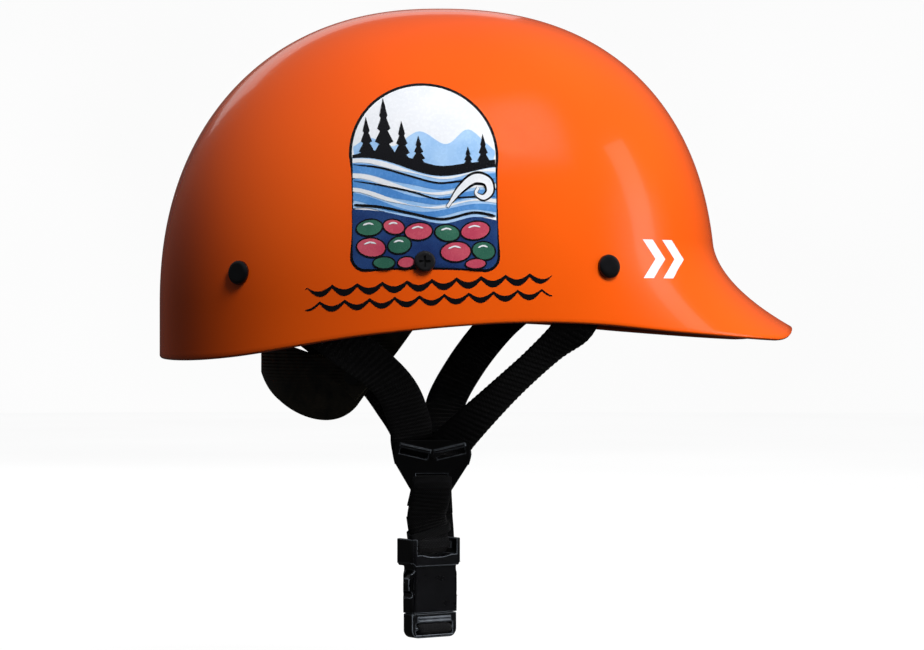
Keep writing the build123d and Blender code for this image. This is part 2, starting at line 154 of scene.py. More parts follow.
def skin_angle(x, z):
    """Plan angle, 0 to pi, of the skin's point at a fore-and-aft place and height."""
    x, z = np.broadcast_arrays(np.asarray(x, float), np.asarray(z, float))
    low, high = np.zeros(x.shape), np.full(x.shape, pi)
    for _ in range(HALVINGS):
        middle = (low + high) / 2
        ahead = skin(middle, z)[..., 0] > x
        low, high = np.where(ahead, middle, low), np.where(ahead, high, middle)
    return low


def on_skin(x, z, side):
    """Point on the outer skin and the direction straight out of it."""
    angle, step = skin_angle(x, z) * side, 1e-4
    around = skin(angle + step, z) - skin(angle - step, z)
    up = skin(angle, z + step) - skin(angle, z - step)
    out = np.cross(around, up)
    out /= np.linalg.norm(out, axis=-1, keepdims=True)
    return skin(angle, z), out


def below_skin(x, z, side, depth):
    """Point at a depth under the outer skin and the direction out of it."""
    point, out = on_skin(x, z, side)
    return point - out * depth, out


RIM_CURVE = smooth_through(RIM_LINE, 400)


def rim_z(angle, inset):
    """Height at which the skin, or a layer below it, is trimmed."""
    lowest, highest = -0.024, 0.02
    low, high = np.full(angle.shape, lowest), np.full(angle.shape, highest)
    for _ in range(HALVINGS):
        middle = (low + high) / 2
        above = middle > np.interp(skin(angle, middle, inset)[..., 0], RIM_CURVE[:, 0], RIM_CURVE[:, 1])
        low, high = np.where(above, low, middle), np.where(above, middle, high)
    return low


def skin_grid(inset, rows, columns):
    """Rows of points from the trimmed rim to just below the crown."""
    angle = np.linspace(0, 2 * pi, columns, endpoint=False)
    foot = rim_z(angle, inset)
    share = np.sin(np.linspace(0, pi / 2, rows, endpoint=False))[:, None]
    z = foot[None] + (CROWN_Z - inset - foot[None]) * share
    return skin(np.broadcast_to(angle, z.shape), z, inset)


# ---- materials ---------------------------------------------------------------------------------
class Nodes:
    """Short way to build a material's node tree."""

    def __init__(self, name):
        self.material = bpy.data.materials.new(name)
        self.material.use_nodes = True
        self.tree = self.material.node_tree
        self.shader = self.tree.nodes["Principled BSDF"]

    def add(self, kind, inputs=None, **settings):
        node = self.tree.nodes.new(kind)
        for key, value in settings.items():
            setattr(node, key, value)
        for key, value in (inputs or {}).items():
            if isinstance(value, bpy.types.NodeSocket):
                self.tree.links.new(value, node.inputs[key])
            else:
                node.inputs[key].default_value = value
        return node

    def set(self, **values):
        """Puts values on the shader's sockets, or links them where they come from a node."""
        for key, value in values.items():
            name = key.replace("_", " ")
            if isinstance(value, bpy.types.NodeSocket):
                self.tree.links.new(value, self.shader.inputs[name])
            else:
                self.shader.inputs[name].default_value = value

    def math(self, operation, a, b=0.0, c=0.0):
        return self.add("ShaderNodeMath", {0: a, 1: b, 2: c}, operation=operation).outputs[0]

    def place(self):
        return self.add("ShaderNodeTexCoord").outputs["Object"]

    def noise(self, scale, detail, rough=0.5):
        inputs = {"Vector": self.place(), "Scale": scale, "Detail": detail, "Roughness": rough}
        return self.add("ShaderNodeTexNoise", inputs).outputs["Fac"]

    def ramp(self, value, stops):
        node = self.add("ShaderNodeValToRGB", {0: value})
        ramp = node.color_ramp
        while len(ramp.elements) < len(stops):
            ramp.elements.new(0.5)
        for element, (at, colour) in zip(ramp.elements, stops):
            element.position = at
            element.color = (*colour, 1)
        return node.outputs[0]

    def spread(self, value, low, high):
        """The value's 0 to 1 range stretched over low to high."""
        return self.add("ShaderNodeMapRange", {0: value, 3: low, 4: high}).outputs[0]

    def bump(self, height, distance, strength, normal=None):
        inputs = {"Height": height, "Distance": distance, "Strength": strength}
        if normal:
            inputs["Normal"] = normal
        return self.add("ShaderNodeBump", inputs).outputs[0]


def glossy_orange():
    """Clear-coated orange plastic, faintly scuffed."""
    n = Nodes("shell_gloss_orange")
    tone = n.noise(9, 2)
    fine = n.noise(900, 2)
    base = n.ramp(tone, [(0.3, (0.90, 0.098, 0.002)), (0.7, (0.95, 0.115, 0.003))])
    scuffs = n.noise(55, 6, 0.7)
    n.set(Base_Color=base, Roughness=n.spread(scuffs, 0.17, 0.26), Normal=n.bump(fine, 0.00002, 0.25),
          Coat_Weight=0.6, Coat_Roughness=0.05, Specular_IOR_Level=0.45)
    return n.material


def inside_orange():
    """The shell's unpolished inside, in a duller orange."""
    n = Nodes("shell_inside")
    speck = n.noise(260, 4, 0.6)
    n.set(Base_Color=n.ramp(speck, [(0.3, (0.50, 0.055, 0.003)), (0.7, (0.62, 0.07, 0.004))]),
          Roughness=0.55, Normal=n.bump(speck, 0.0003, 0.3))
    return n.material


def foam():
    """Closed-cell foam, cut and left bare."""
    n = Nodes("eva_foam")
    cells = n.add("ShaderNodeTexVoronoi", {"Vector": n.place(), "Scale": 900.0}).outputs["Distance"]
    tone = n.noise(70, 3)
    n.set(Base_Color=n.ramp(tone, [(0.3, (0.022, 0.022, 0.025)), (0.7, (0.036, 0.036, 0.040))]),
          Roughness=n.spread(cells, 0.75, 0.95), Normal=n.bump(cells, 0.0002, 0.5))
    return n.material


def pad_cloth():
    """Short-looped black cloth over the pads."""
    n = Nodes("loop_cloth")
    fibre = n.noise(1400, 3, 0.8)
    patch = n.noise(60, 3)
    tone = n.math("MULTIPLY_ADD", fibre, 0.6, n.math("MULTIPLY", patch, 0.4))
    n.set(Base_Color=n.ramp(tone, [(0.35, (0.010, 0.010, 0.012)), (0.7, (0.026, 0.026, 0.029))]),
          Roughness=0.95, Normal=n.bump(fibre, 0.0003, 0.7), Sheen_Weight=0.06)
    return n.material


def webbing():
    """Black woven polyester: a fine weave of warp and weft; the cross ribs are in the mesh."""
    warp_pitch, weft_pitch = 0.0009, 0.0013
    n = Nodes("woven_webbing")
    uv = n.add("ShaderNodeUVMap", uv_map="strap").outputs[0]
    split = n.add("ShaderNodeSeparateXYZ", {0: uv})
    across, along = split.outputs[0], split.outputs[1]
    warp = n.math("SINE", n.math("MULTIPLY", across, 2 * pi / warp_pitch))
    weft = n.math("SINE", n.math("MULTIPLY", along, 2 * pi / weft_pitch))
    weave = n.math("MULTIPLY", warp, weft)
    fuzz = n.noise(1500, 3, 0.8)
    dust = n.noise(45, 4, 0.6)
    soiled = n.math("MULTIPLY_ADD", dust, 0.5, n.math("MULTIPLY", fuzz, 0.25))
    tone = n.math("MULTIPLY_ADD", weave, 0.18, soiled)
    n.set(Base_Color=n.ramp(tone, [(0.2, (0.0032, 0.0032, 0.0038)), (0.75, (0.0105, 0.0105, 0.0120))]),
          Roughness=n.spread(fuzz, 0.55, 0.8), Sheen_Weight=0.10, Specular_IOR_Level=0.4,
          Normal=n.bump(weave, 0.00015, 0.8, n.bump(fuzz, 0.00008, 0.5)))
    return n.material


def moulded_black(name, rough=(0.22, 0.36), colour=(0.0024, 0.0025, 0.0032)):
    """Black plastic or blackened steel with a fine grain and uneven gloss."""
    n = Nodes(name)
    texture = n.noise(1300, 2, 0.6)
    wear = n.noise(120, 5, 0.65)
    lighter = tuple(c * 2.2 for c in colour)
    n.set(Base_Color=n.ramp(wear, [(0.35, colour), (0.75, lighter)]), Roughness=n.spread(wear, *rough),
          Normal=n.bump(texture, 0.00003, 0.6), Specular_IOR_Level=0.7)
    return n.material


def painted_edge_highlight(name):
    """Painted edge highlight: moulded edges coloured lighter and smoother than the faces beside them."""
    n = Nodes(name)
    highlight_mottle = n.noise(240, 4, 0.6)
    n.set(Base_Color=n.ramp(highlight_mottle, [(0.3, (0.090, 0.102, 0.118)), (0.7, (0.190, 0.210, 0.240))]),
          Roughness=n.spread(highlight_mottle, 0.12, 0.24), Specular_IOR_Level=0.8)
    return n.material


def ribbed_cradle():
    """Flexible black plastic with fine level ribs, mottled up to a light warm brown that is painted
    sheen.
    """
    rib_pitch = 0.0016
    n = Nodes("cradle_ribbed")
    z = n.add("ShaderNodeSeparateXYZ", {0: n.place()}).outputs[2]
    ribs = n.math("SINE", n.math("MULTIPLY", z, 2 * pi / rib_pitch))
    mottle_and_painted_sheen = n.noise(110, 4, 0.6)
    # random mottle; its lighter warm stop is a painted sheen over the dark plastic
    n.set(Base_Color=n.ramp(mottle_and_painted_sheen, [(0.35, (0.014, 0.015, 0.010)), (0.68, (0.100, 0.082, 0.052))]),
          Roughness=n.spread(mottle_and_painted_sheen, 0.30, 0.5), Normal=n.bump(ribs, 0.00016, 0.5))
    return n.material


def plain_metal(name, colour, rough):
    """Bare metal, finely brushed."""
    n = Nodes(name)
    brushed = n.noise(500, 4, 0.7)
    n.set(Base_Color=(*colour, 1), Metallic=1.0, Roughness=n.spread(brushed, rough * 0.8, rough * 1.3),
          Normal=n.bump(brushed, 0.00003, 0.4))
    return n.material


def ink(name, colour, second=None):
    """Printed colour under the shell's gloss, a little uneven."""
    n = Nodes(name)
    second = second or tuple(c * 0.85 for c in colour)
    n.set(Base_Color=n.ramp(n.noise(70, 3), [(0.35, colour), (0.65, second)]),
          Roughness=n.spread(n.noise(600, 2), 0.22, 0.32), Coat_Weight=0.4, Coat_Roughness=0.05)
    return n.material


ORANGE, ORANGE_INSIDE = glossy_orange(), inside_orange()
FOAM, PAD_CLOTH, WEBBING = foam(), pad_cloth(), webbing()
NYLON = moulded_black("black_nylon", rough=(0.2, 0.3))
ACETAL = moulded_black("black_acetal")
SCREW_BLACK = moulded_black("black_oxide", rough=(0.25, 0.4), colour=(0.01, 0.01, 0.011))
# lighter, glossier colour for the bevel faces of the black fittings: a painted edge highlight
EDGE_HIGHLIGHT_PAINT = painted_edge_highlight("painted_edge_highlights")
CRADLE = ribbed_cradle()
SATIN_ALUMINIUM = plain_metal("satin_aluminium", (0.6, 0.6, 0.62), 0.35)
ZINC = plain_metal("zinc_plate", (0.55, 0.55, 0.57), 0.4)


# ---- shell -------------------------------------------------------------------------------------
def build_shell():
    """One skin with a wall: outside with its shallow dimple, rounded rim, inside."""
    rows, columns, rim_steps, rim_bulge = 150, 360, 7, 0.0012
    dish_depth, dish_radius = 0.00035, 0.0062
    lip_height, lip_radius, lip_width = 0.00008, 0.0085, 0.0018
    outside, inside = skin_grid(0, rows, columns), skin_grid(SHELL_WALL, rows // 2, columns)
    away = np.hypot(outside[..., 0] - DIMPLE[0], outside[..., 2] - DIMPLE[1])
    sunk = (dish_depth * np.exp(-(away / dish_radius) ** 6)
            - lip_height * np.exp(-((away - lip_radius) / lip_width) ** 2))
    outside[..., 1] += np.where(outside[..., 1] < 0, sunk, 0)
    low_out, low_in = outside[0], inside[0]
    rim = []
    for k in range(1, rim_steps):
        a = pi * k / rim_steps
        share = (1 - cos(a)) / 2
        ring = low_out * (1 - share) + low_in * share
        ring[:, 2] -= rim_bulge * sin(a)
        rim.append(ring)
    levels = np.concatenate([outside[::-1], np.array(rim), inside])
    vertices = list(levels.reshape(-1, 3))
    crown, ceiling = len(vertices), len(vertices) + 1
    vertices += [(0, 0, CROWN_Z), (0, 0, CROWN_Z - SHELL_WALL)]
    faces = grid_faces(len(levels), columns, flip=True)
    faces += [(crown, j, (j + 1) % columns) for j in range(columns)]
    last = (len(levels) - 1) * columns
    faces += [(ceiling, last + (j + 1) % columns, last + j) for j in range(columns)]
    shell = new_object("helmet_shell", vertices, faces, ORANGE)
    shell.data.materials.append(ORANGE_INSIDE)
    inner_start = (rows + rim_steps - 1) * columns
    for polygon in shell.data.polygons:
        if min(polygon.vertices) >= inner_start:
            polygon.material_index = 1
    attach(shell, "helmet")
    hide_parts("outer_shell")


# ---- straps ------------------------------------------------------------------------------------
def ribbon(name, path, across, width=WEB_WIDTH, thick=WEB_THICK, rib=0.00017, pitch=0.0025):
    """Webbing along a smooth path: ribbed faces, rounded selvedges, lengthways texture coordinates.

    Each across vector says which way the strap's width lies at its point of the path."""
    ring_gap, sides, selvedge_power, face_power, rib_fade = 0.0006, 28, 0.35, 0.8, 0.5
    turning = 0.01  # how much a turn of the width counts beside the path when points are spaced
    path, across = np.asarray(path, float), np.asarray(across, float)
    length = np.linalg.norm(np.diff(smooth_through(path, 200), axis=0), axis=1).sum()
    count = max(24, int(length / ring_gap))
    across = across / np.linalg.norm(across, axis=1)[:, None]
    joined = smooth_through(np.hstack([path, across * turning]), count)
    centre, wide = joined[:, :3], joined[:, 3:6]
    run = np.gradient(centre, axis=0)
    run /= np.linalg.norm(run, axis=1)[:, None]
    wide -= run * (wide * run).sum(axis=1)[:, None]
    wide /= np.linalg.norm(wide, axis=1)[:, None]
    out = np.cross(wide, run)
    travelled = np.concatenate([[0], np.cumsum(np.linalg.norm(np.diff(centre, axis=0), axis=1))])
    ribs = rib * np.cos(2 * pi * travelled / pitch)
    turns = np.linspace(0, 2 * pi, sides, endpoint=False)
    u = np.sign(np.cos(turns)) * np.abs(np.cos(turns)) ** selvedge_power
    v = np.sign(np.sin(turns)) * np.abs(np.sin(turns)) ** face_power
    flat = np.abs(v) ** rib_fade
    lift = (thick / 2) * v[None, :] + ribs[:, None] * np.sign(v) * flat
    spread = wide[:, None] * (width / 2 * u)[None, :, None]
    rings = centre[:, None] + spread + out[:, None] * lift[..., None]
    caps = [tuple(range(sides))[::-1], tuple(range((count - 1) * sides, count * sides))]
    piece = new_object(name, rings.reshape(-1, 3), grid_faces(count, sides) + caps, WEBBING)
    layer = piece.data.uv_layers.new(name="strap")
    values = np.zeros((len(piece.data.loops), 2))
    index = np.array([loop.vertex_index for loop in piece.data.loops])
    values[:, 0] = u[index % sides] * width / 2
    values[:, 1] = travelled[index // sides]
    layer.data.foreach_set("uv", values.ravel())
    return piece


def beside(path, faces):
    """Across vectors for a path whose points face the given ways."""
    run = np.gradient(np.asarray(path, float), axis=0)
    return np.cross(run, np.asarray(faces, float))


def rim_exit(which, side):
    """Where a harness strap comes out from under the rim."""
    if which == "front":
        return np.array([0.055 if side == RIGHT else 0.038, side * 0.097, -0.003])
    return np.array([-0.053, side * 0.097, -0.008])


FORWARD = np.array([1.0, 0, 0])
DIVIDER_SLOPE = 0.38
LEFT_SLACK = 0.006  # how much further forward the left divider hangs


def divider_frame(side):
    """The divider's middle, and the directions up its strap and out of its face."""
    slack = LEFT_SLACK if side == LEFT else 0.0
    middle = np.array([-0.0058 + slack, side * 0.042, -0.067])
    face = np.array([0, side, -DIVIDER_SLOPE]) / np.hypot(1, DIVIDER_SLOPE)
    up = np.array([0, DIVIDER_SLOPE * side, 1]) / np.hypot(1, DIVIDER_SLOPE)
    return middle, up, face


def at_foot(side, out, down):
    """Place near a divider's foot slot: out of its face and down from its middle."""
    middle, up, face = divider_frame(side)
    return middle - up * down + face * out


def build_harness_strap(which, side, word):
    """One length of webbing from its rivet, past the rim and into the divider."""
    tail, rib = 0.008, 0.00030 if which == "front" else 0.00017
    x, z = FRONT_ANCHOR if which == "front" else REAR_ANCHOR
    leave = rim_exit(which, side)
    start, start_out = below_skin(x, z, side, STRAP_DEPTH)
    run = (leave - start) / np.linalg.norm(leave - start)
    tip, tip_out = below_skin(x - tail * run[0], z - tail * run[2], side, STRAP_DEPTH)
    half, half_out = below_skin((x + leave[0]) / 2, (z + leave[2]) / 2, side, STRAP_DEPTH)
    if which == "front" and side == RIGHT:
        leave_face = (0.45, side, 0.1)
        free = [(0.0425, -0.085, -0.0155), (0.024, -0.0665, -0.0343)]
        free_faces = [(0.75, -1, 0.15), (0.5, -1, -0.5)]
    elif which == "front":
        leave_face = (0.3, side, 0)
        free = [(0.021, 0.0785, -0.0225), (0.009, 0.0620, -0.0425)]
        free_faces = [(0, 1, -0.6), (0, 1, -0.8)]
    else:
        slack = LEFT_SLACK if side == LEFT else 0.0
        leave_face = (-0.2, side, 0)
        free = [(-0.028, side * 0.082, -0.028), (-0.018 + slack / 2, side * 0.060, -0.046)]
        free_faces = [(0, side, -0.7), (0, side, -0.7)]
    middle, up, face = divider_frame(side)
    lean = 1 if which == "front" else -1
    tilt = FORWARD - up * 0.25 * lean
    slot = middle + FORWARD * 0.0088 * lean + face * 0.0006 * lean
    path = [tip, start, half, leave, *free, slot + up * 0.0115 + FORWARD * 0.0012 * lean,
            slot + up * 0.0050, slot + up * 0.0015 - FORWARD * 0.0008 * lean]
    across = beside(path[:-3], [tip_out, start_out, half_out, leave_face, *free_faces])
    mouth = tilt if across[-1] @ tilt > 0 else -tilt
    across = np.vstack([across, mouth, mouth, mouth])
    strap = ribbon(f"{which}_webbing_{word}", path, across, rib=rib, pitch=0.0030)
    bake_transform(strap)
    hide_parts(f"anchor_strap_{which}_{word}", f"{which}_strap_{word}")


BUCKLE_AXIS = np.array([-0.005, -0.020, 0])
BUCKLE_FACE = np.array([0.5, -0.8660, 0])
BUCKLE_ACROSS = np.array([0.8660, 0.5, 0])


def at_buckle(out, z):
    """Place at a height and a distance in front of the buckle's middle plane."""
    return BUCKLE_AXIS + BUCKLE_FACE * out + np.array([0, 0, z])


def build_chin_straps():
    """The right strap rounds the divider's foot and the socket's bar; the left threads the ladder."""
    path = [(-0.0076, -0.0302, -0.0895),
            at_foot(RIGHT, -0.0030, 0.0150), at_foot(RIGHT, -0.0030, 0.0085), at_foot(RIGHT, 0, 0.0064),
            at_foot(RIGHT, 0.0030, 0.0090), at_foot(RIGHT, 0.0024, 0.0150),
            (-0.00745, -0.0304, -0.0929), (-0.0054, -0.0224, -0.1009),
            at_buckle(0.0018, -0.1045), at_buckle(0.0028, -0.1078), at_buckle(0, -0.1106),
            at_buckle(-0.0028, -0.1078), at_buckle(-0.0014, -0.1045),
            (-0.0062, -0.0204, -0.1007), (-0.0077, -0.0280, -0.0922)]
    turned = [(1, 0.13, 0), (0.93, 0.37, 0)]
    across = [FORWARD] * 6 + turned + [BUCKLE_ACROSS] * 5 + turned[::-1]
    strap = ribbon("chin_webbing_right", path, across, width=CHIN_WIDTH)
    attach(strap, "chin")
    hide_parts("chin_strap_right")

    path = [at_buckle(-0.0085, -0.1310), at_buckle(-0.0074, -0.1400), at_buckle(-0.0046, -0.1448),
            at_buckle(0.0000, -0.1459), at_buckle(0.0042, -0.1466), at_buckle(0.0042, -0.1489),
            at_buckle(0.0000, -0.1496), at_buckle(-0.0046, -0.1496), (-0.0074, -0.0095, -0.1440),
            (-0.0035, 0.0000, -0.1320), (0.0002, 0.0150, -0.1125), (0.0004, 0.0290, -0.0940),
            at_foot(LEFT, 0.0032, 0.0150), at_foot(LEFT, 0.0032, 0.0090), at_foot(LEFT, 0, 0.0064),
            at_foot(LEFT, -0.0030, 0.0085), at_foot(LEFT, -0.0034, 0.0150), (0.0004, 0.0262, -0.0950)]
    turned = [(0.93, 0.35, 0), (0.98, 0.2, 0), (1, 0.05, 0), (1, 0, 0)]
    across = [BUCKLE_ACROSS] * 8 + turned + [FORWARD] * 6
    strap = ribbon("chin_webbing_left", path, across, width=CHIN_WIDTH)
    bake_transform(strap)
    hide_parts("chin_strap_left")


def build_keeper():
    """Ribbed elastic sewn into a ring round the two layers of the right chin strap."""
    centre, run = np.array([-0.0058, -0.0214, -0.1008]), np.array([0.135, 0.494, -0.859])
    wide, out = np.array([0.933, 0.229, 0.278]), np.array([0.334, -0.839, -0.430])
    ring = [(3, -2.4), (-7, -2.4), (-9.9, -2.1), (-10.4, 0), (-9.9, 2.2), (-7, 2.6), (7, 2.6),
            (9.9, 2.2), (10.4, 0), (9.9, -2.2), (7, -2.9), (-3, -3.3)]
    path = [centre + (wide * a + out * b) * MM for a, b in ring]
    keeper = ribbon("strap_keeper_band", path, [run] * len(path), width=0.0046, thick=0.0009,
                    rib=0.00010, pitch=0.0012)
    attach(keeper, "chin")
    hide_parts("strap_keeper")


# ---- foam and pads -----------------------------------------------------------------------------
def layer_piece(name, centre, half_angle, z0, z1, outer, inner, material, edge):
    """Slab that follows the shell between two depths; a higher edge power rounds less of it."""
    columns, rows = 72, 40
    u = np.sin(np.linspace(-pi / 2, pi / 2, columns))
    v = np.sin(np.linspace(-pi / 2, pi / 2, rows))
    u, v = np.meshgrid(u, v)
    angle = radians(centre) + radians(half_angle) * u
    z = (z0 + z1) / 2 + (z1 - z0) / 2 * v
    crown = ((1 - np.abs(u) ** edge) * (1 - np.abs(v) ** edge)) ** 0.5
    depth_in = outer + (inner - outer) * (0.5 + 0.5 * crown)
    depth_out = outer + (inner - outer) * 0.5 * (1 - crown ** 0.6)
    return two_sheets(name, layered(angle, z, depth_in), layered(angle, z, depth_out), material)


def two_sheets(name, front, back, material):
    """Closed piece between two grids of points that share their layout."""
    rows, columns = front.shape[:2]
    count = rows * columns
    vertices = np.concatenate([front.reshape(-1, 3), back.reshape(-1, 3)])
    faces = grid_faces(rows, columns, closed=False, flip=True)
    faces += grid_faces(rows, columns, closed=False, start=count)
    border = [(0, j) for j in range(columns)] + [(i, columns - 1) for i in range(1, rows)]
    border += [(rows - 1, j) for j in range(columns - 2, -1, -1)]
    border += [(i, 0) for i in range(rows - 2, 0, -1)]
    ring = [i * columns + j for i, j in border]
    for a, b in zip(ring, ring[1:] + ring[:1]):
        faces.append((a, b, b + count, a + count))
    return facing_out(new_object(name, vertices, faces, material))


def facing_out(piece):
    """The piece with all its faces turned outwards."""
    mend = bmesh.new()
    mend.from_mesh(piece.data)
    bmesh.ops.recalc_face_normals(mend, faces=mend.faces)
    mend.to_mesh(piece.data)
    mend.free()
    return piece


def layered(angle, z, depth):
    """Points at depths that vary from place to place, below a skin without its peak."""
    return skin(angle, z, depth, peaked=False)


def cap_piece(name, z0, outer, inner, material, radius=None):
    """Domed slab from a height, or from a radius, up to the crown, with a rounded edge."""
    columns, rows = 120, 36
    angle = np.linspace(0, 2 * pi, columns, endpoint=False)
    share = np.sin(np.linspace(0, pi / 2, rows, endpoint=False))
    edge = (1 - (1 - share) ** 8) ** 0.5
    levels = []
    for side_in in (False, True):
        for k in (range(rows) if side_in else range(rows - 1, -1, -1)):
            depth = outer + (inner - outer) * (0.5 + 0.5 * edge[k] * (1 if side_in else -1))
            top = CROWN_Z - depth
            if radius:
                levels.append(ring_at(angle, radius * (1 - share[k]), depth))
            else:
                levels.append(layered(angle, z0 + (top - z0) * share[k], depth))
    vertices = list(np.array(levels).reshape(-1, 3))
    faces = grid_faces(len(levels), columns, flip=True)
    top, under = len(vertices), len(vertices) + 1
    vertices += [(0, 0, CROWN_Z - outer), (0, 0, CROWN_Z - inner)]
    last = (len(levels) - 1) * columns
    faces += [(top, j, (j + 1) % columns) for j in range(columns)]
    faces += [(under, last + (j + 1) % columns, last + j) for j in range(columns)]
    return facing_out(new_object(name, vertices, faces, material))


def ring_at(angle, radius, depth):
    """Points on a layer below the skin at one distance from the helmet's axis."""
    low, high = np.full(angle.shape, SHOULDER_Z), np.full(angle.shape, CROWN_Z - depth)
    for _ in range(HALVINGS):
        middle = (low + high) / 2
        point = layered(angle, middle, depth)
        outside = np.hypot(point[:, 0], point[:, 1]) > radius
        low, high = np.where(outside, middle, low), np.where(outside, high, middle)
    return layered(angle, low, depth)


def shown_mesh(piece):
    """The piece's mesh as its modifiers leave it."""
    return bpy.data.meshes.new_from_object(piece.evaluated_get(bpy.context.evaluated_depsgraph_get()))


def inflated(pad, voxel, cap):
    """The pad with an even mesh, blown up by a cloth simulation that moves no point past the cap."""
    pressure, frames = 4, 20
    scene = bpy.context.scene
    remesh = pad.modifiers.new("even", "REMESH")
    remesh.mode = "VOXEL"
    remesh.voxel_size = voxel
    relax = pad.modifiers.new("relax", "SMOOTH")
    relax.factor = 0.5
    relax.iterations = 5
    even = shown_mesh(pad)
    pad.modifiers.clear()
    even.materials.clear()
    even.materials.append(pad.data.materials[0])
    pad.data = even
    before = vertex_places(even)
    cloth = pad.modifiers.new("blow", "CLOTH")
    cloth.settings.use_pressure = True
    cloth.settings.uniform_pressure_force = pressure
    cloth.settings.effector_weights.gravity = 0
    for step in range(1, frames + 1):
        scene.frame_set(step)
    move = vertex_places(shown_mesh(pad)) - before
    far = np.linalg.norm(move, axis=1)
    move *= np.minimum(1, cap / np.maximum(far, 1e-9))[:, None]
    pad.modifiers.remove(cloth)
    scene.frame_set(1)
    even.vertices.foreach_set("co", (before + move).ravel())
    even.polygons.foreach_set("use_smooth", [True] * len(even.polygons))


def vertex_places(mesh):
    places = np.empty(len(mesh.vertices) * 3)
    mesh.vertices.foreach_get("co", places)
    return places.reshape(-1, 3)


def sewn(pad, lines, width=0.0016, depth=0.0016):
    """Channels pressed into the pad where lines, a distance function, is near zero."""
    places = vertex_places(pad.data)
    normals = np.array([v.normal for v in pad.data.vertices])
    press = depth * np.exp(-(lines(places) / width) ** 2)
    pad.data.vertices.foreach_set("co", (places - normals * press[:, None]).ravel())
    pad.data.update()
    smooth = pad.modifiers.new("smooth", "SUBSURF")
    smooth.levels = smooth.render_levels = 1


def channels_across(centre, half_angle, count):
    """Distance to evenly spread upright lines round the helmet."""
    def distance(places):
        turn = np.degrees(np.arctan2(places[:, 1], places[:, 0])) - centre
        turn = (turn + 180) % 360 - 180
        marks = np.linspace(-half_angle, half_angle, count + 2)[1:-1]
        near = np.min(np.abs(turn[:, None] - marks[None]), axis=1)
        return np.radians(near) * np.hypot(places[:, 0], places[:, 1])
    return distance


def build_cradle_pad():
    """Soft lining inside the back of the cup."""
    columns, rows = 110, 20
    middle, half, half_turn = 0.0050, 0.0016, 66
    u, v = np.meshgrid(np.sin(np.linspace(-pi / 2, pi / 2, columns)),
                       np.sin(np.linspace(-pi / 2, pi / 2, rows)))
    crown = ((1 - np.abs(u) ** 14) * (1 - np.abs(v) ** 6)) ** 0.5

    def lining(inset):
        turn = radians(half_turn) * u
        x = -0.024 - (0.062 - inset) * np.cos(turn)
        low = np.interp(x, [-0.086, -0.081, -0.078, -0.069, -0.060, -0.054, -0.046],
                        [-0.021, -0.028, -0.0335, -0.0395, -0.0415, -0.0420, -0.0395])
        high = np.interp(x, [-0.086, -0.074, -0.060, -0.046], [-0.0130, -0.0145, -0.0193, -0.0200])
        z = (low + high) / 2 + (high - low) / 2 * v
        taper = 1 - 0.22 * (-0.008 - z) / 0.042
        return np.stack([x, (0.068 * taper - inset) * np.sin(turn), z], axis=-1)

    def seams(places):
        return np.minimum(np.abs(np.abs(places[:, 1]) - 0.021), np.abs(np.abs(places[:, 1]) - 0.045))

    outer, inner = lining(middle - half * crown), lining(middle + half * crown)
    pad = two_sheets("cradle_padding", inner, outer, PAD_CLOTH)
    inflated(pad, voxel=0.0011, cap=0.0010)
    sewn(pad, seams, width=0.0012, depth=0.0008)
    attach(pad, "cradle")
    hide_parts("cradle_pad")


def build_liner():
    """Foam cap and band, and the fit pads stuck on them."""
    band_top, band_foot, nape_foot = 0.061, 0.013, -0.004
    crown = cap_piece("crown_foam", band_top + 0.0006, 0.0034, 0.017, FOAM)
    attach(crown, "helmet")
    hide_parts("liner_crown")
    bands = (("front", 0, band_foot), ("left", 90, band_foot), ("rear", 180, nape_foot),
             ("right", 270, band_foot))
    for word, centre, foot in bands:
        band = layer_piece(f"foam_{word}", centre, 43.6, foot, band_top, 0.0112, 0.021, FOAM, edge=22)
        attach(band, "helmet")
        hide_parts(f"liner_{word}")
    pads = (("front", 0, 26, band_foot, 3), ("left", 90, 22, band_foot, 2),
            ("rear", 180, 26, nape_foot, 3), ("right", 270, 22, band_foot, 2))
    for word, centre, half, foot, channels in pads:
        pad = layer_piece(f"fit_{word}", centre, half - 0.8, foot + 0.0062, band_top - 0.0072,
                          0.0223, 0.0294, PAD_CLOTH, edge=12)
        inflated(pad, voxel=0.0018, cap=0.0018)
        sewn(pad, channels_across(centre, half, channels))
        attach(pad, "helmet")
        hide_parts(f"pad_{word}")
    pad = cap_piece("fit_crown", 0.1, 0.0181, 0.0234, PAD_CLOTH, radius=0.0462)
    inflated(pad, voxel=0.0018, cap=0.0014)
    sewn(pad, lambda places: np.abs(np.hypot(places[:, 0], places[:, 1]) - 0.026))
    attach(pad, "helmet")
    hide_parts("pad_crown")


# ---- printed graphics --------------------------------------------------------------------------
def print_area(name, loops, material, side, lift):
    """Ink on the shell: closed side-view outlines, in millimetres, laid on the curved skin."""
    points, edges, faces, start = [], [], [], 0
    for loop in loops:
        loop = [Vector((float(a), float(b))) for a, b in loop]
        points += loop
        edges += [(start + i, start + (i + 1) % len(loop)) for i in range(len(loop))]
        faces.append(list(range(start, start + len(loop))))
        start += len(loop)
    flat = np.array([(p.x, p.y) for p in points])
    low, high = flat.min(0), flat.max(0)
    step, only_inside, tolerance = 2.2, 1, 1e-4
    grid = [Vector((x, z)) for x in np.arange(low[0] + step / 2, high[0], step)
            for z in np.arange(low[1] + step / 2, high[1], step)]
    made = geometry.delaunay_2d_cdt(points + grid, edges, faces, only_inside, tolerance)
    flat = np.array([(v.x, v.y) for v in made[0]]) * MM
    place, out = on_skin(flat[:, 0], flat[:, 1], side)
    vertices = place + out * lift
    used = sorted({i for f in made[2] for i in f})
    renumber = {old: new for new, old in enumerate(used)}
    triangles = [[renumber[i] for i in f][::-side] for f in made[2]]
    piece = new_object(name, vertices[used], triangles, material)
    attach(piece, "helmet")


